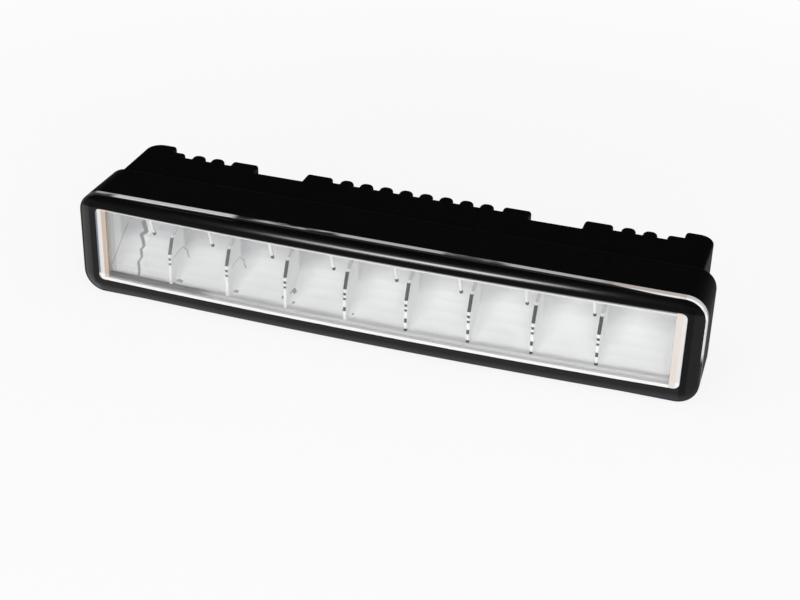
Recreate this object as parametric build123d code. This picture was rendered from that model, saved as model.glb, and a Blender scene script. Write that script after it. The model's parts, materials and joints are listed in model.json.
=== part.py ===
"""Car daytime running light: a slim sealed lamp with nine downward LEDs over nine reflector cells.

Frame: +X along the lamp, -Y out of its window, +Z up. The origin is under the middle of its box, on its base.
Lengths are in millimetres. A depth is measured backwards from the plane of the bezel's front at its two ends.
"""

import os

from build123d import *

# Front: the bezel, its window and the bowed face
bezel_width = 160.2
bezel_height = 27.4
bezel_corner = 5.2
bezel_depth = 0.8
bezel_edge_round = 0.7
bezel_lip = 0.7
front_bow = 1.9
side_border = 4.0
level_border = 3.375
window_corner = 1.6

# Lens: a plug in the window, a skirt under the bezel's lip and a flange between bezel and housing
flange_proud = 0.5
flange_thickness = 1.4
flange_corner = 5.6
plug_recess = 0.25
skirt_reach = 1.9
skirt_wall = 0.9
pane_thickness = 1.4
lens_clearance = 0.1

# Housing: collar, rear body and what stands on its back
collar_side_step = 0.5
collar_top_step = 0.3
collar_corner = 4.9
collar_back = 17.6
collar_round = 1.2
body_side_step = 4.0
body_drop = 0.7
body_edge_round = 0.8
gap_floor = 30.1
rib_tip = 32.7
block_round = 0.9
end_block_width = 7.4
end_block_reach = 35.6
end_block_corner = 4.0
step_width = 4.0
step_reach = 32.4
notch_width = 13.8
notch_floor = 28.1
notch_block = 7.3
rib_pitch = 5.41
rib_width = 3.6
rib_round = 1.5
ribs_beside_middle = 4
outer_ribs = 2
outer_rib_gap = 2.49
block_rib_gap = 2.2
wall = 2.4
ceiling_wall = 2.6
side_wall = 1.6
cavity_corner = 1.0

# Seal in the housing's front rim
groove_width = 1.2
groove_depth = 0.9
groove_margin = 0.8
seal_clearance = 0.1

# Reflector: frame, parabolic trough and the walls between its cells
cells = 9
cells_shift = -0.55
end_cell_extra = 2.75
frame_gap = 0.15
frame_thickness = 1.1
frame_below = 1.225
frame_above = 1.1
trough_front = 4.6
trough_skin = 0.9
trough_top_gap = 0.3
trough_driver_gap = 2.54
cell_wall = 0.9
cell_wall_recess = 0.4
cell_wall_knee = 8.7
cell_wall_brow = 3.6
cell_wall_lean = 1.6
cell_wall_setback = 6.0
cell_wall_shoulder = 2.4
end_wall = 0.6
reflector_side_gap = 0.25

# LED board and its pad
pad_thickness = 0.4
board_thickness = 1.2
board_front = 5.5
board_depth = 15.0
board_end_gap = 0.2
pad_margin = 0.5
led_size = 3.5
led_height = 0.8
led_dome_radius = 1.3
led_dome_height = 0.25

# Driver board, upright on bosses on the back wall
driver_width = 52.0
driver_height = 15.0
driver_low = 5.0
boss_height = 0.8
boss_radius = 1.9
driver_screw_inset = 3.0
flex_width = 6.0
flex_thickness = 0.3
flex_overlap = 5.0
flex_under_board = 1.3

# Parts on the driver board: distance in from the right screws, or from the left ones where it is negative,
# height over the board's lower edge, width, height, thickness and corner cut
driver_parts = {
    "driver_chip": (-17.0, 6.0, 6.0, 5.0, 1.6, 0.3),
    "power_inductor": (15.0, 6.0, 6.6, 6.6, 3.0, 0.8),
    "input_capacitor": (7.5, 11.5, 3.2, 2.5, 1.6, 0.2),
    "output_capacitor": (-9.5, 5.0, 3.2, 2.5, 2.0, 0.2),
    "guard_diode": (-9.5, 9.5, 4.6, 3.6, 2.2, 0.3),
    "input_terminal": (7.0, 5.5, 7.0, 5.0, 3.2, 0.4),
}

# Screws of the two boards
screw_shank = 0.8
screw_hole = 0.85
screw_pass = 1.05
screw_head = 1.7
screw_head_height = 0.9
screw_length = 3.2
screw_spare = 0.3
screw_slot_width = 0.5
screw_slot_depth = 0.4
screw_slot_length = 2.2
led_screw_setback = 1.9

# Bracket screw holes, cable gland and vent plug on the back
bracket_hole = 1.65
bracket_hole_depth = 5.0
bracket_boss = 4.0
bracket_boss_end = 1.1
port_height = 10.0
port_boss = 5.2
gland_hole = 3.2
gland_neck = 3.1
gland_flange = 4.4
gland_flange_height = 1.6
gland_lip = 3.7
gland_lip_height = 1.0
cable_bore = 2.1
vent_hole = 2.0
vent_stem = 1.9
vent_cap = 3.6
vent_cap_height = 1.8
vent_cap_round = 0.6

# Places worked out from the sizes above
window_width = bezel_width - 2 * side_border
window_height = bezel_height - 2 * level_border
lamp_width = bezel_width + 2 * flange_proud
lamp_height = bezel_height + 2 * flange_proud
mid_z = lamp_height / 2
fore = -2 * front_bow
end_plane = front_bow - (front_bow + end_block_reach) / 2
bow_radius = (bezel_width**2 / 4 + front_bow**2) / (2 * front_bow)
housing_front = bezel_depth + flange_thickness
body_top = lamp_height - body_drop
ceiling = body_top - ceiling_wall
back_inside = notch_floor - wall
pane_front = bezel_lip + lens_clearance
pane_back = pane_front + pane_thickness
pocket_reach = skirt_reach - skirt_wall
frame_reach = pocket_reach - lens_clearance
frame_front = pane_back + frame_gap
ledge = frame_front + frame_thickness
body_half_width = lamp_width / 2 - body_side_step
end_block_inner = body_half_width - end_block_width
step_inner = end_block_inner - step_width
outer_rib_last = step_inner - outer_rib_gap - rib_width / 2
outer_rib_first = outer_rib_last - (outer_ribs - 1) * rib_pitch
notch_outer = outer_rib_first - rib_width / 2 - block_rib_gap - notch_block
notch_inner = notch_outer - notch_width
port_offset = (outer_rib_first + outer_rib_last) / 2
cavity_half_width = body_half_width - side_wall
opening_low = mid_z - window_height / 2 + frame_below
opening_high = mid_z + window_height / 2 - frame_above
board_half = cavity_half_width - cavity_corner - board_end_gap
board_top = ceiling - pad_thickness
board_low = board_top - board_thickness
focus_z = board_low - led_height
trough_top = focus_z - trough_top_gap
driver_back = back_inside - boss_height
driver_front = driver_back - board_thickness
trough_rise = focus_z - opening_low
vertex = driver_front - trough_driver_gap
focal_length = trough_rise**2 / (4 * (vertex - trough_front))
led_depth = vertex - focal_length
reflector_half = cavity_half_width - reflector_side_gap
half_cells = reflector_half - end_cell_extra
cell_pitch = 2 * half_cells / cells
cells_left = cells_shift - half_cells
cell_walls = [cells_left + (i + 1) * cell_pitch for i in range(cells - 1)]
led_places = [cells_left + (i + 0.5) * cell_pitch for i in range(cells)]
led_screw_places = [cell_walls[0], cell_walls[2], cell_walls[-3], cell_walls[-1]]
led_screw_depth = board_front + led_screw_setback
driver_mid = driver_low + driver_height / 2
notch_middle = (notch_inner + notch_outer) / 2
driver_screw_x = driver_width / 2 - driver_screw_inset
driver_screw_z = driver_height / 2 - driver_screw_inset
driver_screw_places = [
    (side * driver_screw_x, driver_mid + level * driver_screw_z)
    for side in (-1, 1)
    for level in (-1, 1)
]


def at(depth):
    """The Y of a depth behind the bezel's end plane."""
    return end_plane + depth


def prism(width, height, corner, front, back):
    """A rounded rectangle round the lamp's axis, from one depth to another."""
    plane = Plane(origin=(0, at(front), mid_z), x_dir=(1, 0, 0), z_dir=(0, 1, 0))
    return extrude(plane * RectangleRounded(width, height, corner), back - front)


def framed(reach, front, back):
    """The window's outline grown by reach on every side, from one depth to another."""
    return prism(window_width + 2 * reach, window_height + 2 * reach, window_corner + reach, front, back)


def bow_at(x):
    """The depth of the bowed front face at an X."""
    return bow_radius - front_bow - (bow_radius**2 - x**2) ** 0.5


def behind_bow(offset):
    """All that lies behind the bowed front face moved back by offset."""
    return Pos(0, at(-front_bow) + bow_radius, mid_z) * Cylinder(bow_radius - offset, 2 * lamp_height)


def block(x_low, x_high, front, back, z_low, z_high):
    """A box between two X, two depths and two heights."""
    size = (x_high - x_low, back - front, z_high - z_low)
    centre = ((x_low + x_high) / 2, at((front + back) / 2), (z_low + z_high) / 2)
    return Pos(*centre) * Box(*size)


def rod(x, z, radius, front, back):
    """A round bar along Y between two depths."""
    return Pos(x, at((front + back) / 2), z) * Rot(90, 0, 0) * Cylinder(radius, back - front)


def post(x, depth, radius, z_low, z_high):
    """A round bar along Z between two heights."""
    return Pos(x, at(depth), (z_low + z_high) / 2) * Cylinder(radius, z_high - z_low)


def bar_plan(x_low, x_high, reach, corner):
    """Plan of a bar from inside the collar back to a depth, with its rear corners rounded."""
    root = (housing_front + collar_back) / 2
    bar = Pos((x_low + x_high) / 2, at((root + reach) / 2)) * Rectangle(x_high - x_low, reach - root)
    return fillet(bar.vertices().group_by(Axis.Y)[-1], corner)


def end_block_plan():
    """Plan of the block at the right end, its outer rear corner well rounded."""
    low = bar_plan(end_block_inner, body_half_width, end_block_reach, block_round)
    outer = bar_plan(end_block_inner - end_block_corner, body_half_width, end_block_reach, end_block_corner)
    return low & outer


def rear_plan():
    """Plan of the rear body with its ribs, blocks and bracket notches."""
    right = end_block_plan()
    right += bar_plan(step_inner, end_block_inner + block_round, step_reach, block_round)
    right += bar_plan(notch_inner - notch_block, notch_inner, rib_tip, block_round)
    right += bar_plan(notch_outer, notch_outer + notch_block, rib_tip, block_round)
    rib_places = [(i + 0.5) * rib_pitch for i in range(ribs_beside_middle)]
    rib_places += [outer_rib_first + i * rib_pitch for i in range(outer_ribs)]
    for x in rib_places:
        right += bar_plan(x - rib_width / 2, x + rib_width / 2, rib_tip, rib_round)
    base_half = end_block_inner + block_round
    plan = bar_plan(-base_half, base_half, gap_floor, block_round) + right + mirror(right, Plane.YZ)
    notch = Pos(notch_middle, at((notch_floor + end_block_reach) / 2))
    notch *= Rectangle(notch_outer - notch_inner, end_block_reach - notch_floor)
    return plan - notch - mirror(notch, Plane.YZ)


def make_collar():
    """The front collar: as large as the lens's flange in front, a little smaller at its rounded back."""
    back_height = lamp_height - collar_top_step
    front = Plane(origin=(0, at(housing_front), mid_z), x_dir=(1, 0, 0), z_dir=(0, 1, 0))
    back = Plane(origin=(0, at(collar_back), back_height / 2), x_dir=(1, 0, 0), z_dir=(0, 1, 0))
    large = front * RectangleRounded(lamp_width, lamp_height, flange_corner)
    small = back * RectangleRounded(lamp_width - 2 * collar_side_step, back_height, collar_corner)
    collar = loft([large, small], ruled=True)
    return fillet(collar.faces().sort_by(Axis.Y)[-1].edges(), collar_round)


def make_housing():
    """The black casting: collar, rear body, cavity, seal groove, bosses and holes."""
    body = extrude(rear_plan(), body_top)
    body = fillet(body.faces().sort_by(Axis.Z)[-1].edges(), body_edge_round)
    casting = make_collar() + body
    for side in (-1, 1):
        casting += rod(side * port_offset, port_height, port_boss, back_inside, rib_tip)
    casting -= framed(pocket_reach, housing_front, ledge)
    cavity = block(-cavity_half_width, cavity_half_width, ledge, back_inside, wall, ceiling)
    casting -= fillet(cavity.edges().filter_by(Axis.Y), cavity_corner)
    groove = framed(pocket_reach + groove_margin + groove_width, housing_front, housing_front + groove_depth)
    groove -= framed(pocket_reach + groove_margin, housing_front, housing_front + groove_depth)
    casting -= groove
    for side in (-1, 1):
        x = side * notch_middle
        boss_front = notch_floor - bracket_hole_depth - bracket_boss_end
        casting += rod(x, mid_z, bracket_boss, boss_front, back_inside)
        casting -= rod(x, mid_z, bracket_hole, notch_floor - bracket_hole_depth, notch_floor)
    for x, z in driver_screw_places:
        casting += rod(x, z, boss_radius, driver_back, back_inside)
        hole_end = driver_front + screw_length + screw_spare
        casting -= rod(x, z, screw_hole, driver_back, hole_end)
    for x in led_screw_places:
        hole_top = board_low + screw_length + screw_spare
        casting -= post(x, led_screw_depth, screw_hole, ceiling, hole_top)
    casting -= rod(port_offset, port_height, gland_hole, back_inside, rib_tip)
    casting -= rod(-port_offset, port_height, vent_hole, back_inside, rib_tip)
    return casting


def make_bezel():
    """The gloss frame: a bowed front with a rounded outer edge, the window, and room for the lens's skirt."""
    frame = prism(bezel_width, bezel_height, bezel_corner, fore, bezel_depth) & behind_bow(0)
    front = frame.faces().sort_by(Axis.Y)[0]
    frame = fillet(front.edges(), bezel_edge_round)
    frame -= framed(0, fore, bezel_depth)
    pocket = framed(skirt_reach + lens_clearance, fore, bezel_depth)
    return frame - (pocket & behind_bow(bezel_lip))


def make_lens():
    """The clear moulding: window plug, skirt and flange, hollow behind the pane."""
    flange = prism(lamp_width, lamp_height, flange_corner, bezel_depth, housing_front)
    skirt = framed(skirt_reach, fore, housing_front) & behind_bow(pane_front)
    plug = framed(-lens_clearance, fore, housing_front) & behind_bow(plug_recess)
    pocket = framed(pocket_reach, fore, housing_front) & behind_bow(pane_back)
    return flange + skirt + plug - pocket


def make_lens_seal():
    """Silicone cord that fills the groove in the housing's rim."""
    inner = pocket_reach + groove_margin + seal_clearance
    outer = pocket_reach + groove_margin + groove_width - seal_clearance
    back = housing_front + groove_depth
    return framed(outer, housing_front, back) - framed(inner, housing_front, back)


def parabola(shift, top, low):
    """The trough's curve between two heights, moved back and down by shift."""
    def point(rise):
        return (at(vertex - rise**2 / (4 * focal_length)) + shift, focus_z - rise - shift)

    first = focus_z - top
    last = focus_z - low
    corner = (at(vertex - first * last / (4 * focal_length)) + shift, focus_z - (first + last) / 2 - shift)
    return Bezier(point(first), corner, point(last))


def trough_plan():
    """Side view of the trough's skin."""
    front = parabola(0, trough_top, opening_low)
    back = parabola(trough_skin, trough_top, opening_low)
    return make_face([front, Line(front @ 1, back @ 1), back, Line(back @ 0, front @ 0)])


def cell_wall_plan(x):
    """Side view of a wall between two cells: upright in front, a slight lean, then swept back."""
    front = bow_at(x) + frame_front + cell_wall_recess
    back = parabola(trough_skin / 2, trough_top, opening_low)
    knee = opening_low + cell_wall_knee
    shoulder = trough_top - cell_wall_shoulder
    setback = front + cell_wall_setback
    outline = Polyline(
        back @ 1,
        (at(front), opening_low - trough_skin / 2),
        (at(front), knee),
        (at(front + cell_wall_lean), knee + cell_wall_brow),
        (at(setback), shoulder),
        (at(setback), trough_top - trough_skin / 2),
        back @ 0,
    )
    return make_face([back, *outline.edges()])


def upright(plan, x, thickness):
    """A side view made a plate of some thickness, centred on x."""
    return Pos(x, 0, 0) * extrude(Plane.YZ * plan, thickness / 2, both=True)


def make_reflector():
    """The bright moulding: bowed frame behind the pane, trough, sill and cell walls."""
    frame = framed(frame_reach, fore, ledge) & behind_bow(frame_front)
    frame -= behind_bow(frame_front + frame_thickness)
    half_opening = reflector_half - end_wall / 2
    frame -= block(-half_opening, half_opening, fore, ledge, opening_low, opening_high)
    body = frame + upright(trough_plan(), 0, 2 * reflector_half)
    sill_back = trough_front + trough_skin / 2
    sill = block(-reflector_half, reflector_half, fore, sill_back, opening_low - trough_skin, opening_low)
    body += sill & behind_bow(frame_front)
    for x in cell_walls:
        body += upright(cell_wall_plan(x), x, cell_wall)
    for side in (-1, 1):
        end = side * (reflector_half - end_wall / 2)
        body += upright(cell_wall_plan(end), end, end_wall)
    return body


def make_thermal_pad():
    """Soft pad between the LED board and the ceiling, with holes for the board's screws."""
    half = board_half - pad_margin
    front = board_front + pad_margin
    back = board_front + board_depth - pad_margin
    pad = block(-half, half, front, back, board_top, ceiling)
    for x in led_screw_places:
        pad -= post(x, led_screw_depth, screw_pass, board_top, ceiling)
    return pad


def make_led_board():
    """Metal-core board that carries the LEDs on its underside."""
    board = block(-board_half, board_half, board_front, board_front + board_depth, board_low, board_top)
    for x in led_screw_places:
        board -= post(x, led_screw_depth, screw_pass, board_low, board_top)
    return board


def make_led(x):
    """One LED: a square package with a low round window, facing down."""
    half = led_size / 2
    package_low = focus_z + led_dome_height
    package = block(x - half, x + half, led_depth - half, led_depth + half, package_low, board_low)
    return package + post(x, led_depth, led_dome_radius, focus_z, package_low)


def make_driver_board():
    """Upright board on the bosses of the back wall."""
    half = driver_width / 2
    board = block(-half, half, driver_front, driver_back, driver_low, driver_low + driver_height)
    for x, z in driver_screw_places:
        board -= rod(x, z, screw_pass, driver_front, driver_back)
    return board


def on_driver(inset, above, width, height, thickness, edge):
    """A part of the driver board: a block with softened edges on the board's front face."""
    x = (driver_screw_x if inset > 0 else -driver_screw_x) - inset
    z = driver_low + above
    half = width / 2
    rise = height / 2
    part = block(x - half, x + half, driver_front - thickness, driver_front, z - rise, z + rise)
    return chamfer(part.edges().filter_by(Axis.Y), edge)


def make_flex_link():
    """Flat strip from the driver board's face up and forward under the LED board."""
    half = flex_width / 2
    front = driver_front - flex_thickness
    low = driver_low + driver_height - flex_overlap
    rise = block(-half, half, front, driver_front, low, board_low)
    reach = board_front + board_depth - flex_under_board
    return rise + block(-half, half, reach, driver_front, board_low - flex_thickness, board_low)


def screw():
    """A small cross-slot screw along +Z with the underside of its head at the origin."""
    head = Pos(0, 0, -screw_head_height / 2) * Cylinder(screw_head, screw_head_height)
    shank = Pos(0, 0, screw_length / 2) * Cylinder(screw_shank, screw_length)
    slot_z = screw_slot_depth / 2 - screw_head_height
    for turn in (0, 90):
        slot = Box(screw_slot_length, screw_slot_width, screw_slot_depth)
        head -= Pos(0, 0, slot_z) * Rot(0, 0, turn) * slot
    return head + shank


def make_led_board_screws():
    """The LED board's screws, up into the housing's top wall."""
    return [Pos(x, at(led_screw_depth), board_low) * screw() for x in led_screw_places]


def make_driver_screws():
    """The driver board's screws, back into the bosses."""
    return [Pos(x, at(driver_front), z) * Rot(-90, 0, 0) * screw() for x, z in driver_screw_places]


def make_cable_gland():
    """Rubber grommet with a flange outside, a lip inside and a bore for the supply lead."""
    x, z = port_offset, port_height
    inside = back_inside - gland_lip_height
    outside = rib_tip + gland_flange_height
    body = rod(x, z, gland_neck, inside, outside)
    body += rod(x, z, gland_flange, rib_tip, outside)
    body += rod(x, z, gland_lip, inside, back_inside)
    return body - rod(x, z, cable_bore, inside, outside)


def make_vent_plug():
    """Breather plug: a domed cap outside and a stem through the back wall."""
    x, z = -port_offset, port_height
    outside = rib_tip + vent_cap_height
    cap = rod(x, z, vent_cap, rib_tip, outside)
    cap = fillet(cap.faces().sort_by(Axis.Y)[-1].edges(), vent_cap_round)
    return cap + rod(x, z, vent_stem, back_inside, rib_tip)


pieces = {
    "housing": make_housing(),
    "bezel": make_bezel(),
    "lens": make_lens(),
    "lens_seal": make_lens_seal(),
    "reflector": make_reflector(),
    "thermal_pad": make_thermal_pad(),
    "led_board": make_led_board(),
    "driver_board": make_driver_board(),
    "flex_link": make_flex_link(),
    "cable_gland": make_cable_gland(),
    "vent_plug": make_vent_plug(),
    "led_board_screws": Compound(children=make_led_board_screws()),
    "driver_screws": Compound(children=make_driver_screws()),
}
for name, sizes in driver_parts.items():
    pieces[name] = on_driver(*sizes)
for number, place in enumerate(led_places, start=1):
    pieces[f"led_{number}"] = make_led(place)

os.makedirs("parts", exist_ok=True)
for node, piece in pieces.items():
    export_step(piece, f"parts/{node}.step")
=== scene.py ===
import json
from math import cos, pi, radians, sin

import bpy
import numpy as np
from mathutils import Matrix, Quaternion, Vector


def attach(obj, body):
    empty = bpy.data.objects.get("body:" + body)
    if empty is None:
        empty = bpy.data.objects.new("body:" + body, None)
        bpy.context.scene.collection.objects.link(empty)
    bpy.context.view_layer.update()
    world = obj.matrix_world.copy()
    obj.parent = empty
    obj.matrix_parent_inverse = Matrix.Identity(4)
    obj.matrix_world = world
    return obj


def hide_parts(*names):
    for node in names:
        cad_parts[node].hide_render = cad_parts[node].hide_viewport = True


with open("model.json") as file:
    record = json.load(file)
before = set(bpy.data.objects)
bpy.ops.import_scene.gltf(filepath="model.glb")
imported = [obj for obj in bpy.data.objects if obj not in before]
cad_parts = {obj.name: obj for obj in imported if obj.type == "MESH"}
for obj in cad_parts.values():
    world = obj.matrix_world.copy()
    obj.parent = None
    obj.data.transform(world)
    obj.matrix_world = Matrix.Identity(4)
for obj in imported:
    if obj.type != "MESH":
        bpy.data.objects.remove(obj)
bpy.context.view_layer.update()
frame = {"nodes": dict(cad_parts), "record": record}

# A slim car daytime running light. Lengths are in millimetres until a mesh is made; a depth is measured
# backwards from the plane of the bezel's front at its two ends, and Y is that depth moved by END_PLANE.
# In the finishes, a place or depth is in metres, as Object coordinates are.
MM = 0.001
END_PLANE = -16.85
MID_Z = 14.2
BOW_RADIUS = 1689.3737
FRONT_BOW = 1.9

# Bezel
WINDOW = (152.2, 20.65, 1.6)
BEZEL = (160.2, 27.4, 5.2)
POCKET = (156.2, 24.65, 3.6)
BEZEL_REAR = 0.8
LIP_BACK = 0.7
CREST_INSET = 0.015
BEVEL_SHARE = 0.42
BEVEL_DROP = 0.2
CHAMFER_FALL = 0.416
CHAMFER_CURVE = 0.33

# Reflector
REFLECTOR_FRAME = (154.0, 22.45, 2.5)
OPENING = (148.9, 18.325, 0.6)
OPENING_MID = 14.2625
OPENING_LOW = 5.1
FRAME_FRONT = 2.35
FRAME_BACK = 3.45
REFLECTOR_HALF = 74.75
FOCUS_Z = 22.7
FOCAL_LENGTH = 4.67633
VERTEX = 21.16
TROUGH_TOP = 22.4
TROUGH_FRONT = 4.6
TROUGH_LOW = OPENING_LOW - 0.65
SKIN = 0.9
CELL_PITCH = 16.0
CELLS_SHIFT = -0.55
CELLS = 9
WALL_THICKNESS = 0.9
END_WALL = 0.6
WALL_FRONT = 2.75
WALL_KNEE = OPENING_LOW + 8.7
WALL_BROW = WALL_KNEE + 3.6
WALL_LEAN = 1.6
WALL_SETBACK = 6.0
WALL_SHOULDER = TROUGH_TOP - 2.4
CELL_ROUND = 4.5
FLUTES = 11
FLUTE_DEPTH = 0.05
SCALLOP_DEPTH = 0.12
SCALLOP_PITCH = 1.5

# Thin prongs that hang from the reflector's frame, one beside each wall
PRONG_PITCH = 16.48
PRONG_SHIFT = -3.98
PRONG_RADIUS = 0.45
PRONG_TOP = 23.7
PRONG_LOW = 17.2
PRONG_FRONT = 2.75
PRONG_LEAN = 2.6

# Fine lines on the trough, as paths of X and Z: a dark wavy one in the left cell with a pale one beside it,
# and dark dashes and pale curls at the feet of the left walls
WAVY_PATH = [
    (-70.84, 13.5), (-69.34, 11.81), (-70.39, 11.1), (-68.59, 9.29), (-69.02, 8.57),
    (-67.96, 7.48), (-68.29, 6.6), (-67.23, 5.56), (-66.54, 4.56),
]
WAVY_HALVES = [0.5, 0.42, 0.36, 0.3, 0.28, 0.26, 0.26, 0.26]
WAVY_PALE_SHIFT = 0.9
DASH_PATHS = [
    [(-56.02, 5.25), (-54.5, 4.97)],
    [(-40.03, 5.3), (-38.92, 5.11)],
    [(-26.87, 5.51), (-23.33, 5.16)],
    [(-24.0, 7.9), (-23.6, 7.2)],
    [(-10.24, 5.37), (-9.43, 6.12)],
    [(-9.07, 5.18), (-7.37, 5.12)],
]
DASH_HALF = 0.22
CURL_PATHS = [
    [(-60.33, 6.61), (-59.21, 5.97), (-57.44, 5.91), (-55.45, 5.3)],
    [(-44.05, 6.75), (-43.1, 6.02), (-40.25, 5.58)],
]
CURL_HALF = 0.35

# A fine hook on the right face of each of the two left walls, a painted reflection, as a path of depth and Z,
# and the middles in X of the places that carry it
HOOK_PATH = [(4.0, 12.1), (6.7, 12.6), (9.2, 12.6), (10.9, 10.9), (10.1, 9.3)]
HOOK_HALF = 0.14
HOOK_PLACES = (-54.7, -38.7)

# A thin slanting line on the left end wall: its height at a depth, and its slope
SLANT_START = (3.0, 6.1)
SLANT_SLOPE = 0.719

# Lens flange outline in metres, for the finish of its rim
FLANGE_HALF_X = 0.0806
FLANGE_HALF_Z = 0.0142
FLANGE_CORNER = 0.0056

# Camera: the photograph's viewpoint, its turn in degrees and its lens
EYE = (0.111082, -0.349560, 0.213766)
AZIMUTH = 17.48675
ELEVATION = 29.77135
ROLL = 1.66622
LENS = 73.917
SENSOR = 36.0

# Lamps: where each stands and what it faces in metres, its width and height, its power in watts and whether
# it shows in mirror images
LAMPS = {
    "key": ((0.45, -0.92, 0.5), (0.0, 0.0, 0.01), (0.7, 0.5), 6.8, False),
    "fill": ((-0.3, -0.95, 0.6), (0.0, 0.0, 0.01), (0.7, 0.5), 0.5, False),
    "front_card": ((-0.225, -0.975, 0.17), (0.01, -0.018, 0.027), (0.36, 0.2), 3.6, True),
}
WORLD_LEVEL = 0.55
FLOOR_REACH = 2.0


class Signal:
    """One number carried by a socket: an expression on it adds its Math nodes."""

    def __init__(self, finish, socket):
        self.finish = finish
        self.socket = socket

    def maths(self, operation, *terms):
        """The Math node of an operation on the terms in their order."""
        made = self.finish.node("ShaderNodeMath", {"operation": operation}, dict(enumerate(terms)))
        return Signal(self.finish, made.outputs[0])

    def __add__(self, other):
        return self.maths("ADD", self, other)

    def __radd__(self, other):
        return self.maths("ADD", other, self)

    def __sub__(self, other):
        return self.maths("SUBTRACT", self, other)

    def __rsub__(self, other):
        return self.maths("SUBTRACT", other, self)

    def __mul__(self, other):
        return self.maths("MULTIPLY", self, other)

    def __rmul__(self, other):
        return self.maths("MULTIPLY", other, self)

    def __truediv__(self, other):
        return self.maths("DIVIDE", self, other)

    def __rtruediv__(self, other):
        return self.maths("DIVIDE", other, self)

    def __pow__(self, other):
        return self.maths("POWER", self, other)

    def __abs__(self):
        return self.maths("ABSOLUTE", self)

    def at_least(self, other):
        """The larger of this and another."""
        return self.maths("MAXIMUM", self, other)

    def at_most(self, other):
        """The smaller of this and another."""
        return self.maths("MINIMUM", self, other)

    def wave(self):
        """The sine of this."""
        return self.maths("SINE", self)

    def fraction(self):
        """What is left of this over the whole number below it."""
        return self.maths("FRACT", self)

    def step(self, low, high):
        """A smooth rise from 0 at low to 1 at high."""
        settings = {"interpolation_type": "SMOOTHSTEP"}
        made = self.finish.node("ShaderNodeMapRange", settings, {0: self, 1: low, 2: high})
        return Signal(self.finish, made.outputs[0])


class Finish:
    """A node tree under way, for a material or for the world."""

    def __init__(self, owner):
        owner.use_nodes = True
        self.owner = owner
        self.tree = owner.node_tree
        self.tree.nodes.clear()

    def put(self, socket, value):
        """Links a socket or a Signal to an input, or sets the input's own value."""
        if isinstance(value, Signal):
            value = value.socket
        if isinstance(value, bpy.types.NodeSocket):
            self.tree.links.new(value, socket)
        else:
            socket.default_value = value

    def node(self, kind, settings=None, sockets=None):
        """A node of any type: its settings first, then the values or links of its sockets."""
        made = self.tree.nodes.new(kind)
        for key, value in (settings or {}).items():
            setattr(made, key, value)
        for key, value in (sockets or {}).items():
            self.put(made.inputs[key], value)
        return made

    def signal(self, made, output=0):
        """A node's output as a Signal."""
        return Signal(self, made.outputs[output])

    def place(self):
        """X, Y and Z of Object coordinates, in metres."""
        where = self.node("ShaderNodeTexCoord").outputs["Object"]
        parts = self.node("ShaderNodeSeparateXYZ", None, {0: where})
        return [self.signal(parts, i) for i in range(3)]

    def mark(self):
        """The mark that a piece's UV carries, from 0 to 1."""
        where = self.node("ShaderNodeTexCoord").outputs["UV"]
        return self.signal(self.node("ShaderNodeSeparateXYZ", None, {0: where}))

    def noise(self, scale, detail=2.0, stretch=(1.0, 1.0, 1.0), rough=0.5):
        """Noise of about one feature per 1/scale metres, stretched along the axes."""
        where = self.node("ShaderNodeTexCoord").outputs["Object"]
        where = self.node("ShaderNodeMapping", None, {0: where, "Scale": stretch}).outputs[0]
        sockets = {"Vector": where, "Scale": scale, "Detail": detail, "Roughness": rough}
        return self.signal(self.node("ShaderNodeTexNoise", None, sockets))

    def stroke(self, x, z, path, halves):
        """1 on straight strokes along a path in millimetres, each with its half width, and 0 off them."""
        shown = None
        for (ax, az), (bx, bz), half in zip(path, path[1:], halves):
            ux, uz = bx - ax, bz - az
            px, pz = x - ax * MM, z - az * MM
            share = ((px * ux + pz * uz) / ((ux * ux + uz * uz) * MM)).at_least(0.0).at_most(1.0)
            dx, dz = px - share * (ux * MM), pz - share * (uz * MM)
            away = (dx * dx + dz * dz) ** 0.5
            one = 1 - away.step(0.6 * half * MM, 1.4 * half * MM)
            shown = one if shown is None else shown.at_least(one)
        return shown

    def blend(self, factor, first, second):
        """A colour between two by a factor."""
        return self.node("ShaderNodeMix", {"data_type": "RGBA"}, {0: factor, 6: first, 7: second}).outputs[2]

    def bump(self, height, distance):
        """A normal from a height between 0 and 1 and the distance it stands for, in metres."""
        return self.node("ShaderNodeBump", None, {"Height": height, "Distance": distance}).outputs[0]

    def coated(self, **sockets):
        """The Principled shader with the named sockets, underscores for spaces."""
        named = {key.replace("_", " "): value for key, value in sockets.items()}
        return self.node("ShaderNodeBsdfPrincipled", None, named).outputs[0]

    def mixed(self, factor, first, second):
        """Two shaders mixed by a factor."""
        return self.node("ShaderNodeMixShader", None, {0: factor, 1: first, 2: second}).outputs[0]

    def close(self, shader):
        """Puts the shader on the output and gives the material."""
        self.node("ShaderNodeOutputMaterial", None, {"Surface": shader})
        return self.owner


def grey(level):
    """A neutral colour of a linear level."""
    return (level, level, level, 1.0)


def tint(red, green, blue):
    """A colour from linear parts."""
    return (red, green, blue, 1.0)


def start(name):
    """A new material's Finish."""
    return Finish(bpy.data.materials.new(name))


def black_casting():
    """Matt black powder coat on a die casting: fine grain, faint mottling and a little dust."""
    f = start("black_casting")
    grain = f.noise(2600.0, 3.0)
    mottle = f.noise(140.0, 2.0)
    dust = f.noise(900.0, 4.0, rough=0.7).step(0.66, 0.8)
    base = f.blend(mottle, tint(0.0023, 0.0022, 0.0021), tint(0.0034, 0.0033, 0.0031))
    base = f.blend(dust * 0.5, base, tint(0.012, 0.0115, 0.011))
    return f.close(f.coated(
        Base_Color=base,
        Roughness=0.5 + 0.16 * grain,
        Specular_IOR_Level=0.03,
        Normal=f.bump(grain, 0.00006),
    ))


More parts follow.
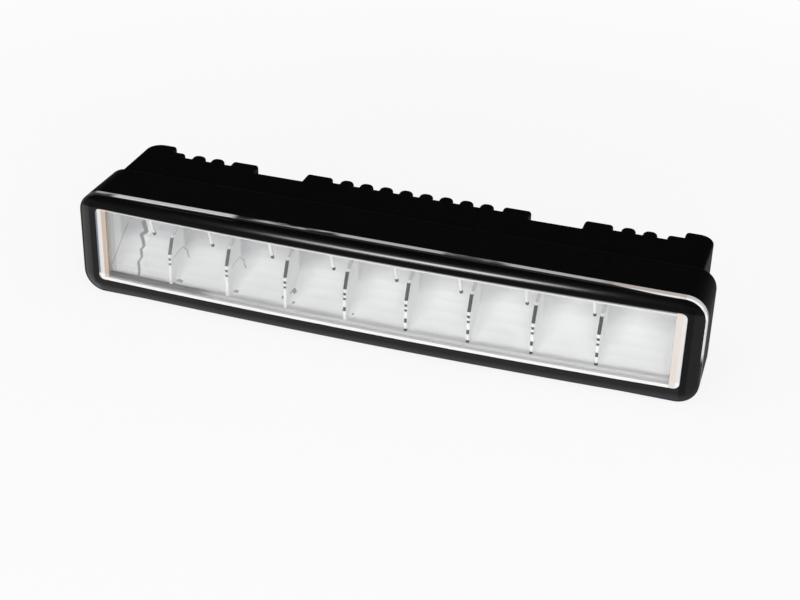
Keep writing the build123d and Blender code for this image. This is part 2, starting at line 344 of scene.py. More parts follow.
def bezel_black():
    """Black moulding: a deep black bevel beside the window and a satin chamfer outside it.

    The coat's weight is painted reflection, set side by side: strongest on the left, weaker at the bottom and
    on the right, and thinnest along the top, where only a coated line beside the crest, in the middle of the
    top, shines as a painted highlight.
    """
    f = start("bezel_black")
    x, y, z = f.place()
    edge_x = abs(x) - WINDOW[0] * MM / 2
    edge_z = abs(z - MID_Z * MM) - WINDOW[1] * MM / 2
    outside = edge_x.at_least(edge_z)
    roll = outside.step(0.0013, 0.0017)
    top = z.step(0.0243, 0.0249)
    right = x.step(0.0757, 0.0763)
    left = (0 - x).step(0.0757, 0.0763)
    bottom = (1 - left) * (1 - right)
    # Painted reflection: the coat's weight differs by side, and the highlight beside the crest is kept to the
    # middle of the top.
    low_coat = bottom * (0.55 - 0.35 * outside.step(0.0028, 0.0034))
    sides = left * (0.45 + 0.3 * roll) + right * (0.2 + 0.15 * roll) + low_coat
    band = outside.step(0.0014, 0.0017) * (1 - outside.step(0.0021, 0.0024))
    painted_highlight_band = x.step(-0.05, 0.018) * (1 - x.step(0.022, 0.066)) * band
    grain = f.noise(3200.0, 2.0)
    smear = f.noise(60.0, 2.0, (1.0, 1.0, 4.0))
    base = f.blend(roll, tint(0.0006, 0.0007, 0.0011), tint(0.0021, 0.002, 0.0019))
    return f.close(f.coated(
        Base_Color=base,
        Roughness=0.14 + 0.10 * smear,
        Specular_IOR_Level=0.05,
        Coat_Weight=sides * (1 - 0.93 * top) + top * painted_highlight_band,
        Coat_Roughness=0.12,
        Normal=f.bump(grain, 0.000012),
    ))


def lens_rim(x, z):
    """1 on the flange's rim outside the bezel, by the distance from the corner centres of its outline."""
    corner_x = (abs(x) - (FLANGE_HALF_X - FLANGE_CORNER)).at_least(0.0)
    corner_z = (abs(z - MID_Z * MM) - (FLANGE_HALF_Z - FLANGE_CORNER)).at_least(0.0)
    reach = (corner_x * corner_x + corner_z * corner_z) ** 0.5
    return reach.step(FLANGE_CORNER - 0.0012, FLANGE_CORNER - 0.0009)


def lens_border(x, z, depth):
    """How frosted the window's border and the skirt behind the bezel are.

    The low run thins upwards, the top run falls a little to the right, and the left end is thinner along its
    inner edge. The back of the low run is clear.
    """
    left = 0 - x
    beside_z = abs(z - MID_Z * MM) - WINDOW[1] * MM / 2
    skirt = (abs(x) - WINDOW[0] * MM / 2).at_least(beside_z).step(0.0, 0.0002)
    low = (1 - z.step(0.0047, 0.0051)).at_least(0.3 - 0.3 * z.step(0.0054, 0.0057))
    top = (z + x * 0.0026).step(0.0238, 0.02395).at_least(skirt)
    left_end = left.step(0.0729, 0.0732) * (0.55 + 0.45 * left.step(0.0741, 0.0746))
    right_end = x.step(0.0734, 0.0736)
    behind = depth - x * x / (2 * BOW_RADIUS * MM) + FRONT_BOW * MM
    low_back = behind.step(0.001, 0.0012) * (1 - z.step(0.006, 0.0065))
    return low.at_least(top).at_least(left_end).at_least(right_end) * (1 - low_back)


def rim_frost_and_highlight(f, x, z, depth, top):
    """How frosted the rim is.

    Its top is frosted broadly on the left, in streaks and a thin run in the middle, and in a wedge that
    widens to the right. From there the frost goes round the corner and down the front of the right end.
    The rim is pale, and this pattern along it is a painted highlight, bright at the ends and dim in the
    middle.
    """
    left = 0 - x
    front = 1 - depth.step(0.00086, 0.00096)
    streak = f.noise(260.0, 3.0, (0.35, 3.0, 3.0)).step(0.42, 0.62)
    left_run = left.step(0.0365, 0.039) * (1 - left.step(0.0695, 0.0722))
    dim_run = x.step(0.0155, 0.0175) * (1 - x.step(0.03, 0.034))
    thin_run = x.step(-0.0125, -0.009) * (0.75 - 0.65 * dim_run)
    thin_run = thin_run.at_least(0.75 * streak) * (1 - front)
    wedge = x.step(0.0565, 0.059) * (z - 0.0284 + (x - 0.057) * 0.05).step(0.0, 0.00015)
    right_corner = x.step(0.068, 0.072) * z.step(0.0225, 0.0272)
    right_end = 0.75 * x.step(0.0796, 0.0801) * z.step(0.0115, 0.0145) * front
    # The frost's pattern along the rim is a painted highlight on the pale rim.
    return (top * left_run.at_least(thin_run) + wedge + right_corner + right_end).at_most(1.0)


def frost_colour(f, x, z, rim, top, cloud):
    """Near white, with a cream inner edge at both ends, a shaded top edge and a blue edge on the far left."""
    left = 0 - x
    colour = f.blend(cloud, tint(0.53, 0.527, 0.522), tint(0.585, 0.58, 0.572))
    cream = left.step(0.0729, 0.0731) * (1 - left.step(0.0744, 0.0748))
    colour = f.blend(cream * 0.7, colour, tint(0.74, 0.57, 0.45))
    shaded = (z + x * 0.0012).step(0.0241, 0.02435) * (1 - rim)
    colour = f.blend(shaded * 0.9, colour, grey(0.1))
    blue = left.step(0.0753, 0.0757) * (1 - rim)
    colour = f.blend(blue, colour, tint(0.11, 0.14, 0.18))
    bright = rim.at_least(1 - z.step(0.0055, 0.006))
    colour = f.blend(bright * 0.7, colour, tint(0.74, 0.735, 0.725))
    warm_edge = x.step(0.0733, 0.0736) * (1 - x.step(0.0749, 0.0752))
    warm_rim = x.step(0.054, 0.057) * (1 - x.step(0.071, 0.076)) * top
    warm = (warm_edge + warm_rim).at_most(1.0)
    return f.blend(warm * 0.8, colour, tint(0.56, 0.49, 0.45))


def clear_lens():
    """Clear moulding: its pane lets light straight through, and its border, skirt and rim are partly frosted;
    the rim is pale, and the pattern of its frost is a painted highlight.

    Where the rim isn't frosted, it shows the black that lies behind it.
    """
    f = start("clear_lens")
    x, y, z = f.place()
    depth = y - END_PLANE * MM
    rim = lens_rim(x, z)
    top = z.step(0.02815, 0.02835)
    # The rim's frost is pale material, and its pattern along the rim is a painted highlight.
    frost = lens_border(x, z, depth) * (1 - rim) + rim * rim_frost_and_highlight(f, x, z, depth, top)
    cloud = f.noise(700.0, 2.0)
    colour = frost_colour(f, x, z, rim, top, cloud)
    frosted = f.coated(Base_Color=colour, Roughness=0.32 + 0.1 * cloud, Specular_IOR_Level=0.5)
    through = f.node("ShaderNodeBsdfTransparent", None, {0: tint(0.997, 1.0, 1.0)}).outputs[0]
    gloss = f.node("ShaderNodeBsdfGlossy", None, {"Color": grey(1.0), "Roughness": 0.03}).outputs[0]
    shine = f.node("ShaderNodeFresnel", None, {"IOR": 1.49}).outputs[0]
    dark = f.blend(cloud, grey(0.012), grey(0.02))
    edge = f.coated(Base_Color=dark, Roughness=0.4, Specular_IOR_Level=0.2)
    clear = f.mixed(rim * 0.92, f.mixed(shine, through, gloss), edge)
    return f.close(f.mixed(frost, clear, frosted))


def fine_lines(f, base, x, z, depth):
    """The colour with the fine lines of the trough, the left end wall and the two left walls drawn on it."""
    inside = depth.step(0.0036, 0.0042) * (1 - abs(x).step(0.0739, 0.0741))
    dark = f.stroke(x, z, WAVY_PATH, WAVY_HALVES) * 0.9
    pale = f.stroke(x - WAVY_PALE_SHIFT * MM, z, WAVY_PATH, WAVY_HALVES)
    for path in DASH_PATHS:
        dark = dark.at_least(f.stroke(x, z, path, [DASH_HALF]) * 0.8)
    for path in CURL_PATHS:
        pale = pale.at_least(f.stroke(x, z, path, [CURL_HALF] * len(path)))
    base = f.blend(pale * inside, base, grey(1.0))
    base = f.blend(dark * inside, base, tint(0.1, 0.1, 0.115))
    start_depth, start_z = SLANT_START
    slant = abs(z - start_z * MM - SLANT_SLOPE * (depth - start_depth * MM))
    end_wall = (0 - x).step(0.0739, 0.0741)
    base = f.blend((1 - slant.step(0.0001, 0.0003)) * end_wall * 0.8, base, grey(0.15))
    # The hooks beside the two left walls are a painted reflection.
    first, second = [abs(x - place * MM) for place in HOOK_PLACES]
    beside = 1 - first.at_most(second).step(0.0014, 0.0017)
    hook = f.stroke(depth, z, HOOK_PATH, [HOOK_HALF] * len(HOOK_PATH))
    return f.blend(hook * beside * 0.6, base, tint(0.2, 0.2, 0.21))


def bright_reflector():
    """Bright satin moulding, a little brighter on the walls and greyer high in the trough.

    It carries the fine lines and a grey lower edge of its frame, darker on the left. The lighter walls are
    painted light; the grey high in the trough and the grey lower edge are painted shade. The marks are dark
    facets.
    """
    f = start("bright_reflector")
    x, y, z = f.place()
    depth = y - END_PLANE * MM
    left = 0 - x
    along = (x - CELLS_SHIFT * MM) / (CELL_PITCH * MM) + 0.5 * CELLS
    wall = 1 - (0.5 - abs(along.fraction() - 0.5)).step(0.03, 0.2)
    flow = f.noise(90.0, 3.0, (0.4, 1.0, 2.5))
    speck = f.noise(1500.0, 3.0)
    patch = f.noise(120.0, 2.0, (1.0, 1.0, 0.5))
    base = f.blend(flow, tint(0.95, 0.953, 0.96), tint(0.975, 0.973, 0.968))
    # Painted light: the walls and the trough beside them are lighter, to offset the shade they get.
    base = f.blend(wall, base, grey(0.985))
    # Painted shade high in the trough, patchy and stronger to the left.
    high = z.step(0.0095, 0.0132) * depth.step(0.009, 0.011)
    shade = 0.15 + 0.45 * patch + 0.35 * left.step(-0.02, 0.07)
    base = f.blend(high * shade, base, tint(0.5, 0.5, 0.53))
    # Painted shade along the frame's lower edge: a faint grey line, heavier on the left.
    frame_edge = (1 - depth.step(0.0032, 0.0036)) * (1 - z.step(0.0051, 0.0053))
    lower = z.step(0.0047, 0.0049) * 0.12 + z.step(0.0036, 0.004) * left.step(0.043, 0.05) * 0.75
    base = f.blend(lower * frame_edge, base, tint(0.2, 0.2, 0.2))
    base = fine_lines(f, base, x, z, depth)
    base = f.blend(f.mark(), base, tint(0.012, 0.012, 0.013))
    return f.close(f.coated(
        Base_Color=base,
        Metallic=0.1,
        Roughness=0.3 + 0.06 * speck,
        Specular_IOR_Level=0.35,
    ))


def silicone():
    """Grey silicone cord."""
    f = start("silicone")
    cloud = f.noise(800.0, 3.0)
    base = f.blend(cloud, tint(0.16, 0.165, 0.17), tint(0.24, 0.245, 0.25))
    return f.close(f.coated(
        Base_Color=base,
        Roughness=0.5 + 0.15 * cloud,
        Normal=f.bump(cloud, 0.00002),
    ))


def thermal_pad():
    """Soft filled pad: grey-blue with fine specks."""
    f = start("thermal_pad")
    speck = f.noise(4200.0, 3.0).step(0.45, 0.7)
    base = f.blend(speck, tint(0.22, 0.28, 0.36), tint(0.36, 0.42, 0.5))
    return f.close(f.coated(
        Base_Color=base,
        Roughness=0.75 + 0.1 * speck,
        Normal=f.bump(speck, 0.00003),
    ))


def board_white():
    """White solder mask over copper: broad traces show as faint steps."""
    f = start("board_white")
    x, y, z = f.place()
    trace = (x * 780.0).wave().step(-0.15, 0.15)
    fleck = f.noise(1200.0, 3.0)
    base = f.blend(trace * 0.6, tint(0.86, 0.86, 0.84), tint(0.8, 0.805, 0.8))
    base = f.blend(fleck * 0.3, base, tint(0.9, 0.9, 0.88))
    return f.close(f.coated(
        Base_Color=base,
        Roughness=0.38 + 0.12 * fleck,
        Normal=f.bump(trace, 0.00003),
    ))


def led_yellow():
    """LED: a white package and a yellow phosphor window on its underside."""
    f = start("led_yellow")
    x, y, z = f.place()
    window = 1 - z.step((FOCUS_Z + 0.18) * MM, (FOCUS_Z + 0.26) * MM)
    grain = f.noise(5200.0, 3.0)
    phosphor = f.blend(grain, tint(0.78, 0.6, 0.09), tint(0.85, 0.7, 0.18))
    package = f.blend(grain, tint(0.8, 0.8, 0.77), tint(0.87, 0.87, 0.84))
    return f.close(f.coated(
        Base_Color=f.blend(window, package, phosphor),
        Roughness=0.42 - 0.2 * window,
        Normal=f.bump(grain, 0.00001),
    ))


def board_green():
    """Green solder mask with copper traces under it."""
    f = start("board_green")
    x, y, z = f.place()
    runs = (z * 3600.0).wave().at_least((x * 1700.0).wave()).step(0.55, 0.75)
    fleck = f.noise(1500.0, 3.0)
    base = f.blend(runs, tint(0.012, 0.11, 0.045), tint(0.03, 0.2, 0.08))
    base = f.blend(fleck * 0.25, base, tint(0.02, 0.15, 0.06))
    return f.close(f.coated(
        Base_Color=base,
        Roughness=0.3 + 0.12 * fleck,
        Normal=f.bump(runs, 0.00003),
    ))


def moulded(name, dark, light, roughness, scale=3000.0, depth=0.00002):
    """A plain moulded part: two close tones by fine noise, the same noise as a fine grain."""
    f = start(name)
    grain = f.noise(scale, 3.0)
    return f.close(f.coated(
        Base_Color=f.blend(grain, dark, light),
        Roughness=roughness + 0.12 * grain,
        Normal=f.bump(grain, depth),
    ))


def flex_amber():
    """Amber film with copper tracks along it."""
    f = start("flex_amber")
    x, y, z = f.place()
    track = (x * 6600.0).wave().step(0.1, 0.4)
    cloud = f.noise(600.0, 2.0)
    base = f.blend(track, tint(0.5, 0.2, 0.03), tint(0.62, 0.3, 0.09))
    return f.close(f.coated(
        Base_Color=base,
        Roughness=0.25 + 0.15 * cloud,
        Normal=f.bump(track, 0.00002),
    ))


def screw_steel():
    """Zinc-plated steel with turning marks."""
    f = start("screw_steel")
    mark = f.noise(3000.0, 3.0, (1.0, 1.0, 0.3))
    base = f.blend(mark, tint(0.5, 0.5, 0.5), tint(0.68, 0.68, 0.67))
    return f.close(f.coated(
        Base_Color=base,
        Metallic=1.0,
        Roughness=0.26 + 0.16 * mark,
        Normal=f.bump(mark, 0.00001),
    ))


FINISHES = {
    "black_casting": black_casting(),
    "bezel_black": bezel_black(),
    "clear_lens": clear_lens(),
    "silicone": silicone(),
    "bright_reflector": bright_reflector(),
    "thermal_pad": thermal_pad(),
    "board_white": board_white(),
    "led_yellow": led_yellow(),
    "board_green": board_green(),
    "component_black": moulded("component_black", grey(0.012), grey(0.022), 0.45),
    "component_tan": moulded("component_tan", tint(0.3, 0.2, 0.11), tint(0.4, 0.28, 0.16), 0.4),
    "terminal_cream": moulded("terminal_cream", tint(0.6, 0.55, 0.42), tint(0.7, 0.65, 0.52), 0.42),
    "flex_amber": flex_amber(),
    "screw_steel": screw_steel(),
    "gland_rubber": moulded("gland_rubber", grey(0.011), grey(0.02), 0.62, 1800.0, 0.00004),
    "vent_grey": moulded("vent_grey", grey(0.05), grey(0.075), 0.5, 2200.0, 0.00004),
}


def depth_of_bow(x):
    """Depth of the bowed front at X: the arc of BOW_RADIUS that stands FRONT_BOW proud in the middle."""
    return BOW_RADIUS - FRONT_BOW - np.sqrt(BOW_RADIUS**2 - x**2)


def round_path(along, up, turn):
    """Stations round a rounded rectangle, seen from the front and anticlockwise from the lower left.

    Each station is (cx, cz, ax, az). A rectangle of width w, height h and corner r has its point there at
    x = cx (w / 2 - r) + ax r and z = cz (h / 2 - r) + az r. On a straight run one of cx and cz goes from -1
    to 1, and on a corner the direction (ax, az) turns by a quarter circle.
    """
    def straight(count, start_c, end_c, direction):
        share = np.linspace(0.0, 1.0, count, endpoint=False)[:, None]
        centre = (1 - share) * np.array(start_c) + share * np.array(end_c)
        return np.hstack([centre, np.repeat([direction], count, axis=0)])

    def corner(centre, first):
        angle = np.radians(first + np.linspace(0.0, 90.0, turn, endpoint=False))
        return np.column_stack([np.repeat([centre], turn, axis=0), np.cos(angle), np.sin(angle)])

    return np.vstack([
        straight(along, (-1, -1), (1, -1), (0, -1)),
        corner((1, -1), -90.0),
        straight(up, (1, -1), (1, 1), (1, 0)),
        corner((1, 1), 0.0),
        straight(along, (1, 1), (-1, 1), (0, 1)),
        corner((-1, 1), 90.0),
        straight(up, (-1, 1), (-1, -1), (-1, 0)),
        corner((-1, -1), 180.0),
    ])


def frame_rings(path, width, height, corner, mid, follow, offset):
    """Rings of a frame as a grid: rounded rectangles of several sizes at depth = follow * bow(x) + offset."""
    w, h, r, m, k, o = [np.asarray(a, float)[:, None] for a in (width, height, corner, mid, follow, offset)]
    x = path[:, 0] * (w / 2 - r) + path[:, 2] * r
    z = m + path[:, 1] * (h / 2 - r) + path[:, 3] * r
    return np.stack([x, END_PLANE + k * depth_of_bow(x) + o, z], axis=-1)


def grid_faces(rows, columns, wrap_rows, wrap_columns):
    """Corner numbers of the quads of a grid, going round where a direction is closed."""
    i = np.arange(rows if wrap_rows else rows - 1)[:, None]
    j = np.arange(columns if wrap_columns else columns - 1)[None, :]
    i2 = (i + 1) % rows
    j2 = (j + 1) % columns
    corners = (i * columns + j, i2 * columns + j, i2 * columns + j2, i * columns + j2)
    return np.stack(np.broadcast_arrays(*corners)).reshape(4, -1).T


def closed_grid(points, caps=False, marks=0.0):
    """A shell from a grid of rings: closed round each ring, and over the rows too or by a cap at each end."""
    rows, columns = points.shape[:2]
    faces = grid_faces(rows, columns, not caps, True).tolist()
    if caps:
        faces.append(list(range(columns))[::-1])
        faces.append(list(range((rows - 1) * columns, rows * columns)))
    return (*outward(points.reshape(-1, 3), faces), np.broadcast_to(marks, (rows, columns)).ravel())


def outward(points, faces):
    """The shell with its faces turned so that its volume, summed over fans of triangles, is positive."""
    quads = np.array([f for f in faces if len(f) == 4])
    a, b, c, d = [points[quads[:, i]] for i in range(4)]
    volume = np.einsum("ij,ij->", a, np.cross(b, c)) + np.einsum("ij,ij->", a, np.cross(c, d))
    for face in faces:
        if len(face) != 4:
            fan = points[face]
            volume += np.einsum("j,ij->", fan[0], np.cross(fan[1:-1], fan[2:]))
    if volume < 0:
        faces = [face[::-1] for face in faces]
    return points, faces


def piece(name, shells, slot, node, sharp=38.0):
    """A mesh object of several shells with its finish, riding on the lamp and standing for a node."""
    points = np.vstack([shell[0] for shell in shells])
    marks = np.concatenate([shell[2] for shell in shells])
    starts = np.cumsum([0] + [len(shell[0]) for shell in shells])
    faces = [[c + int(first) for c in face] for shell, first in zip(shells, starts) for face in shell[1]]
    mesh = bpy.data.meshes.new(name)
    mesh.from_pydata((points * MM).tolist(), [], faces)
    corners = np.empty(len(mesh.loops), dtype=np.int32)
    mesh.loops.foreach_get("vertex_index", corners)
    spread = np.column_stack([marks[corners], np.zeros(len(corners))])
    mesh.uv_layers.new(name="marks").data.foreach_set("uv", spread.astype(np.float32).ravel())
    mesh.shade_smooth()
    mesh.set_sharp_from_angle(angle=radians(sharp))
    mesh.materials.append(FINISHES[slot])
    made = bpy.data.objects.new(name, mesh)
    bpy.context.scene.collection.objects.link(made)
    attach(made, "root")
    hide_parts(node)


def bezel_rings():
    """The bezel's section, carried round the window.

    From the window's edge a flat bevel rises by BEVEL_DROP to a crest. A curved chamfer falls from there to
    the outer edge by CHAMFER_FALL times the share of its width and CHAMFER_CURVE times that share squared.
    Then come the outer wall, the rear and the pocket for the lens's skirt.
    """
    rise = np.linspace(0.0, 1.0, 9)
    slide = np.linspace(0.0, 1.0, 25)[1:]
    share = np.concatenate([BEVEL_SHARE * rise, BEVEL_SHARE + (1 - BEVEL_SHARE) * slide, [1.0]])[:, None]
    front = (1 - share) * np.array(WINDOW) + share * np.array(BEZEL)
    sizes = np.vstack([front, [POCKET, POCKET, WINDOW]])
    bevel = CREST_INSET + BEVEL_DROP * (1 - rise)
    chamfer = CREST_INSET + CHAMFER_FALL * slide + CHAMFER_CURVE * slide**2
    offset = np.concatenate([bevel, chamfer, [BEZEL_REAR, BEZEL_REAR, LIP_BACK, LIP_BACK]])
    follow = np.ones(len(offset))
    follow[[-4, -3]] = 0.0
    return frame_rings(round_path(160, 24, 14), *sizes.T, np.full(len(offset), MID_Z), follow, offset)


wall_places = CELLS_SHIFT + (np.arange(CELLS - 1) - (CELLS - 2) / 2) * CELL_PITCH


def reflector_frame():
    """The reflector's flat frame behind the pane: four rounded rectangles that follow the bow."""
    sizes = np.array([OPENING, REFLECTOR_FRAME, REFLECTOR_FRAME, OPENING])
    mid = [OPENING_MID, MID_Z, MID_Z, OPENING_MID]
    offset = [FRAME_FRONT, FRAME_FRONT, FRAME_BACK, FRAME_BACK]
    return frame_rings(round_path(120, 16, 6), *sizes.T, mid, np.ones(4), offset)


def trough_curve(rise):
    """Depth and height of the parabola at a rise below the focus: depth falls with the square of the rise."""
    return VERTEX - rise**2 / (4 * FOCAL_LENGTH), FOCUS_Z - rise


def nose_profile(z):
    """How far a wall's front edge lies behind its foot: upright, a slight lean, a sweep and upright again."""
    knots_z = [WALL_KNEE, WALL_BROW, WALL_SHOULDER]
    return np.interp(z, knots_z, [0.0, WALL_LEAN, WALL_SETBACK])


def trough_rings(stations=28, steps=133, behind=24):
    """The trough and its skin: a parabola with shallow flutes, carried along X and rounded up into each wall.

    A flute is half a sine wave of FLUTE_DEPTH, pressed in along the parabola's normal. Within CELL_ROUND of a
    wall's face the surface comes forward by a quarter circle, R - sqrt(R^2 - (R - d)^2) at a distance d; R is
    smaller where the wall is shallow.
    """
    share = np.linspace(0.0, 1.0, steps)
    rise = (FOCUS_Z - TROUGH_TOP) + share * (TROUGH_TOP - TROUGH_LOW)
    depth, height = trough_curve(rise)
    slope = rise / (2 * FOCAL_LENGTH)
    length = np.sqrt(1 + slope**2)
    press = FLUTE_DEPTH * np.abs(np.sin(pi * FLUTES * share))
    inner = np.linspace(-0.5, 0.5, CELLS * stations + 1) * CELLS * CELL_PITCH + CELLS_SHIFT
    x = np.concatenate([[-REFLECTOR_HALF], inner, [REFLECTOR_HALF - 0.9, REFLECTOR_HALF]])[:, None]
    from_wall = np.min(np.abs(x - wall_places), axis=1, keepdims=True) - WALL_THICKNESS / 2
    from_end = REFLECTOR_HALF - END_WALL - np.abs(x)
    distance = np.maximum(np.minimum(from_wall, from_end), 0.0)
    nose = depth_of_bow(x) + WALL_FRONT + nose_profile(height)
    radius = np.minimum(CELL_ROUND, 0.6 * np.maximum(depth - nose, 0.0))
    forward = radius - np.sqrt(radius**2 - np.maximum(radius - distance, 0.0) ** 2)
    front_y = depth + press / length - forward
    front_z = np.broadcast_to(height - press * slope / length, front_y.shape)
    depth, height = trough_curve(np.linspace(rise[-1], rise[0], behind))
    back_y = np.broadcast_to(depth + SKIN, (len(x), behind))
    back_z = np.broadcast_to(height - SKIN, (len(x), behind))
    y = np.hstack([front_y, back_y])
    return np.stack([np.broadcast_to(x, y.shape), END_PLANE + y, np.hstack([front_z, back_z])], axis=-1)


def sill_rings(stations=61):
    """The shelf from the frame back to the trough: a rectangle carried along X, its front on the bow."""
    x = np.linspace(-REFLECTOR_HALF, REFLECTOR_HALF, stations)[:, None]
    bow = depth_of_bow(x) + FRAME_BACK - 0.2
    back = np.full_like(x, TROUGH_FRONT + SKIN / 2)
    depth = np.hstack([bow, back, back, bow])
    height = np.broadcast_to([TROUGH_LOW, TROUGH_LOW, OPENING_LOW - SKIN, OPENING_LOW - SKIN], depth.shape)
    return np.stack([np.broadcast_to(x, depth.shape), END_PLANE + depth, height], axis=-1)


def wall_rings(x, thickness, sweep=1.0, stations=120, turn=9):
    """One wall between two cells: a round-nosed plate carried up its front edge.

    The front edge stands upright to the knee, leans a little to the brow, sweeps back to the shoulder and
    stands again to the trough's top, or it stands upright all the way where sweep is 0. Its lower part has
    scallops, a rectified sine along its height. Each station's section runs from the parabola's mid-skin
    forward along one face, round the nose by a half circle and back along the other.
    """
    z = np.linspace(OPENING_LOW - SKIN / 2, TROUGH_TOP - SKIN / 2, stations)
    nose = depth_of_bow(np.array(x)) + WALL_FRONT + sweep * nose_profile(z)
    low = z < WALL_KNEE
    nose = nose + np.where(low, SCALLOP_DEPTH * np.abs(np.sin(pi * (z - WALL_KNEE) / SCALLOP_PITCH)), 0.0)
    half = thickness / 2
    back = trough_curve(FOCUS_Z - z)[0] + SKIN / 2
    back = np.maximum(back, nose + 2 * thickness)[:, None]
    near = nose[:, None] + half + 0.12
    angle = np.linspace(-pi / 2, pi / 2, turn)
    side = np.concatenate([[-half, -half], half * np.sin(angle), [half, half]])
    depth = np.hstack([back, near, nose[:, None] + half * (1 - np.cos(angle))[None, :], near, back])
    height = np.broadcast_to(z[:, None], depth.shape)
    return np.stack([np.broadcast_to(x + side, depth.shape), END_PLANE + depth, height], axis=-1)


def wall_marks(rings, number):
    """Dark facets on a wall's nose: a bar from knee to brow, two dots, a dash and one at the foot."""
    z = rings[:, :1, 2]
    bar = (z > WALL_KNEE) & (z < WALL_BROW + 0.2)
    dots = (np.abs(z - WALL_KNEE + 1.45) < 0.3) | (np.abs(z - WALL_KNEE + 2.85) < 0.26)
    dash = (np.abs(z - 8.1) < 0.55) & (number > 2)
    foot = (z < OPENING_LOW + 0.6) & (number > 3)
    sweep = 0.35 * (z > WALL_BROW + 0.7)
    nose = np.zeros(rings.shape[1])
    nose[2:-2] = 1.0
    middle = np.zeros(rings.shape[1])
    middle[4:-4] = 1.0
    return np.maximum(np.maximum(bar | foot, sweep) * nose, (dots | dash) * middle)


def prong_rings(x, stations=40, turn=12):
    """A prong: a circle carried down a straight line that leans back, closed to a round end at the bottom."""
    share = np.linspace(0.0, 1.0, stations)
    angle = np.linspace(0.0, 2 * pi, turn, endpoint=False)
    length = np.hypot(PRONG_TOP - PRONG_LOW, PRONG_LEAN)
    left = np.minimum((1 - share) * length / PRONG_RADIUS, 1.0)
    radius = PRONG_RADIUS * np.sqrt(np.maximum(1 - (1 - left) ** 2, 0.004))
    across = np.array([PRONG_TOP - PRONG_LOW, PRONG_LEAN]) / length
    depth = depth_of_bow(np.array(x)) + PRONG_FRONT + share * PRONG_LEAN
    height = PRONG_TOP + share * (PRONG_LOW - PRONG_TOP)
    ring_x = x + radius[:, None] * np.cos(angle)
    ring_y = END_PLANE + depth[:, None] + radius[:, None] * np.sin(angle) * across[0]
    ring_z = height[:, None] + radius[:, None] * np.sin(angle) * across[1]
    return np.stack([ring_x, ring_y, ring_z], axis=-1)


def prong_marks(rings):
    """The prong's lower end is dark."""
    return rings[:, :1, 2] < PRONG_LOW + 1.2


# New pieces: the bezel and the reflector
piece("bezel_frame", [closed_grid(bezel_rings())], "bezel_black", "bezel")
prong_places = PRONG_SHIFT + (np.arange(CELLS - 1) - (CELLS - 2) / 2) * PRONG_PITCH
end_place = REFLECTOR_HALF - END_WALL / 2
reflector_shells = [
    closed_grid(reflector_frame()),
    closed_grid(trough_rings(), caps=True),
    closed_grid(sill_rings(), caps=True),
]
for number, place in enumerate(wall_places):
    wall = wall_rings(place, WALL_THICKNESS)
    reflector_shells.append(closed_grid(wall, caps=True, marks=wall_marks(wall, number)))
for place in prong_places:
    prong = prong_rings(place)
    reflector_shells.append(closed_grid(prong, caps=True, marks=prong_marks(prong)))
for place in (-end_place, end_place):
    reflector_shells.append(closed_grid(wall_rings(place, END_WALL, sweep=0.0), caps=True))
piece("reflector_cells", reflector_shells, "bright_reflector", "reflector")

# The record's slots dress the nodes that stay
for entry in frame["record"]["subparts"]:
    for holder in frame["nodes"][entry["node"]].material_slots:
        holder.material = FINISHES[entry["material_slot"]]


def floor_finish():
    """Pale floor: a lit matt surface that shows as white to the camera, mirrors and glass.

    Near the lamp the camera sees a share of the matt surface, which keeps the soft shadow.
    """
    f = start("pale_floor")
    ray = f.node("ShaderNodeLightPath")
    x, y, z = f.place()
    away = ((x * x + y * y) ** 0.5).step(0.1, 0.45)
    seen = f.signal(ray, "Is Camera Ray") * (0.84 + 0.16 * away) + f.signal(ray, "Is Glossy Ray") * 0.9
    seen = seen + f.signal(ray, "Is Transmission Ray")
    speck = f.noise(300.0, 2.0)
    base = f.blend(speck, grey(0.86), grey(0.89))
    matt = f.node("ShaderNodeBsdfDiffuse", None, {"Color": base}).outputs[0]
    white = f.node("ShaderNodeEmission", None, {"Color": grey(1.0), "Strength": 1.0}).outputs[0]
    return f.close(f.mixed(seen.at_most(1.0), matt, white))


def lay_floor():
    """A flat sheet of floor under the lamp."""
    mesh = bpy.data.meshes.new("floor")
    corners = [(FLOOR_REACH * x, FLOOR_REACH * y, 0.0) for x, y in ((-1, -1), (1, -1), (1, 1), (-1, 1))]
    mesh.from_pydata(corners, [], [(0, 1, 2, 3)])
    mesh.materials.append(floor_finish())
    sheet = bpy.data.objects.new("floor", mesh)
    bpy.context.scene.collection.objects.link(sheet)


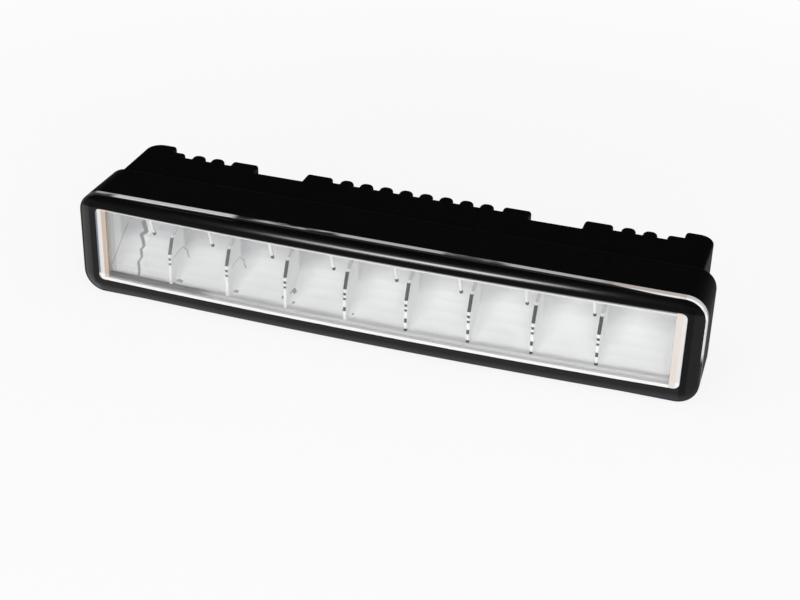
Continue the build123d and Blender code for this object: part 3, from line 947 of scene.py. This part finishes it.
def light_world():
    """White to the camera and through glass; to mirrors white near the horizon and dim overhead."""
    world = bpy.data.worlds.new("studio")
    bpy.context.scene.world = world
    f = Finish(world)
    ray = f.node("ShaderNodeLightPath")
    camera = f.signal(ray, "Is Camera Ray")
    glossy = f.signal(ray, "Is Glossy Ray")
    through = f.signal(ray, "Is Transmission Ray")
    where = f.node("ShaderNodeTexCoord").outputs["Generated"]
    up = f.signal(f.node("ShaderNodeSeparateXYZ", None, {0: where}), 2)
    mirror_level = 1.0 - 0.97 * up.step(-0.02, 0.12)
    plain = (1 - (camera + glossy + through).at_most(1.0)) * WORLD_LEVEL
    strength = (camera + through).at_most(1.0) + glossy * mirror_level + plain
    shade = f.node("ShaderNodeBackground", None, {"Color": grey(1.0), "Strength": strength}).outputs[0]
    f.node("ShaderNodeOutputWorld", None, {"Surface": shade})


def softbox(name, place, aim, size, power, mirrored):
    """A rectangular lamp that faces a point; it may be left out of mirror images."""
    lamp = bpy.data.lights.new(name, "AREA")
    lamp.shape = "RECTANGLE"
    lamp.size, lamp.size_y = size
    lamp.energy = power
    box = bpy.data.objects.new(name, lamp)
    bpy.context.scene.collection.objects.link(box)
    box.location = place
    box.rotation_euler = (Vector(aim) - Vector(place)).to_track_quat("-Z", "Y").to_euler()
    box.visible_glossy = mirrored
    box.visible_camera = False


def set_camera():
    """The photograph's viewpoint, turned by a small roll."""
    azimuth, elevation, roll = radians(AZIMUTH), radians(ELEVATION), radians(ROLL)
    back = Vector((sin(azimuth) * cos(elevation), -cos(azimuth) * cos(elevation), sin(elevation)))
    lens = bpy.data.cameras.new("camera")
    lens.lens = LENS
    lens.sensor_width = SENSOR
    lens.clip_start = 0.01
    eye = bpy.data.objects.new("camera", lens)
    bpy.context.scene.collection.objects.link(eye)
    eye.location = EYE
    turn = (-back).to_track_quat("-Z", "Y") @ Quaternion((0, 0, 1), roll)
    eye.rotation_euler = turn.to_euler()
    bpy.context.scene.camera = eye


lay_floor()
light_world()
for name, lamp in LAMPS.items():
    softbox(name, *lamp)
set_camera()
bpy.context.scene.view_settings.view_transform = "Standard"
bpy.context.scene.cycles.diffuse_bounces = 8
bpy.context.scene.cycles.glossy_bounces = 8
bpy.context.scene.cycles.transparent_max_bounces = 16
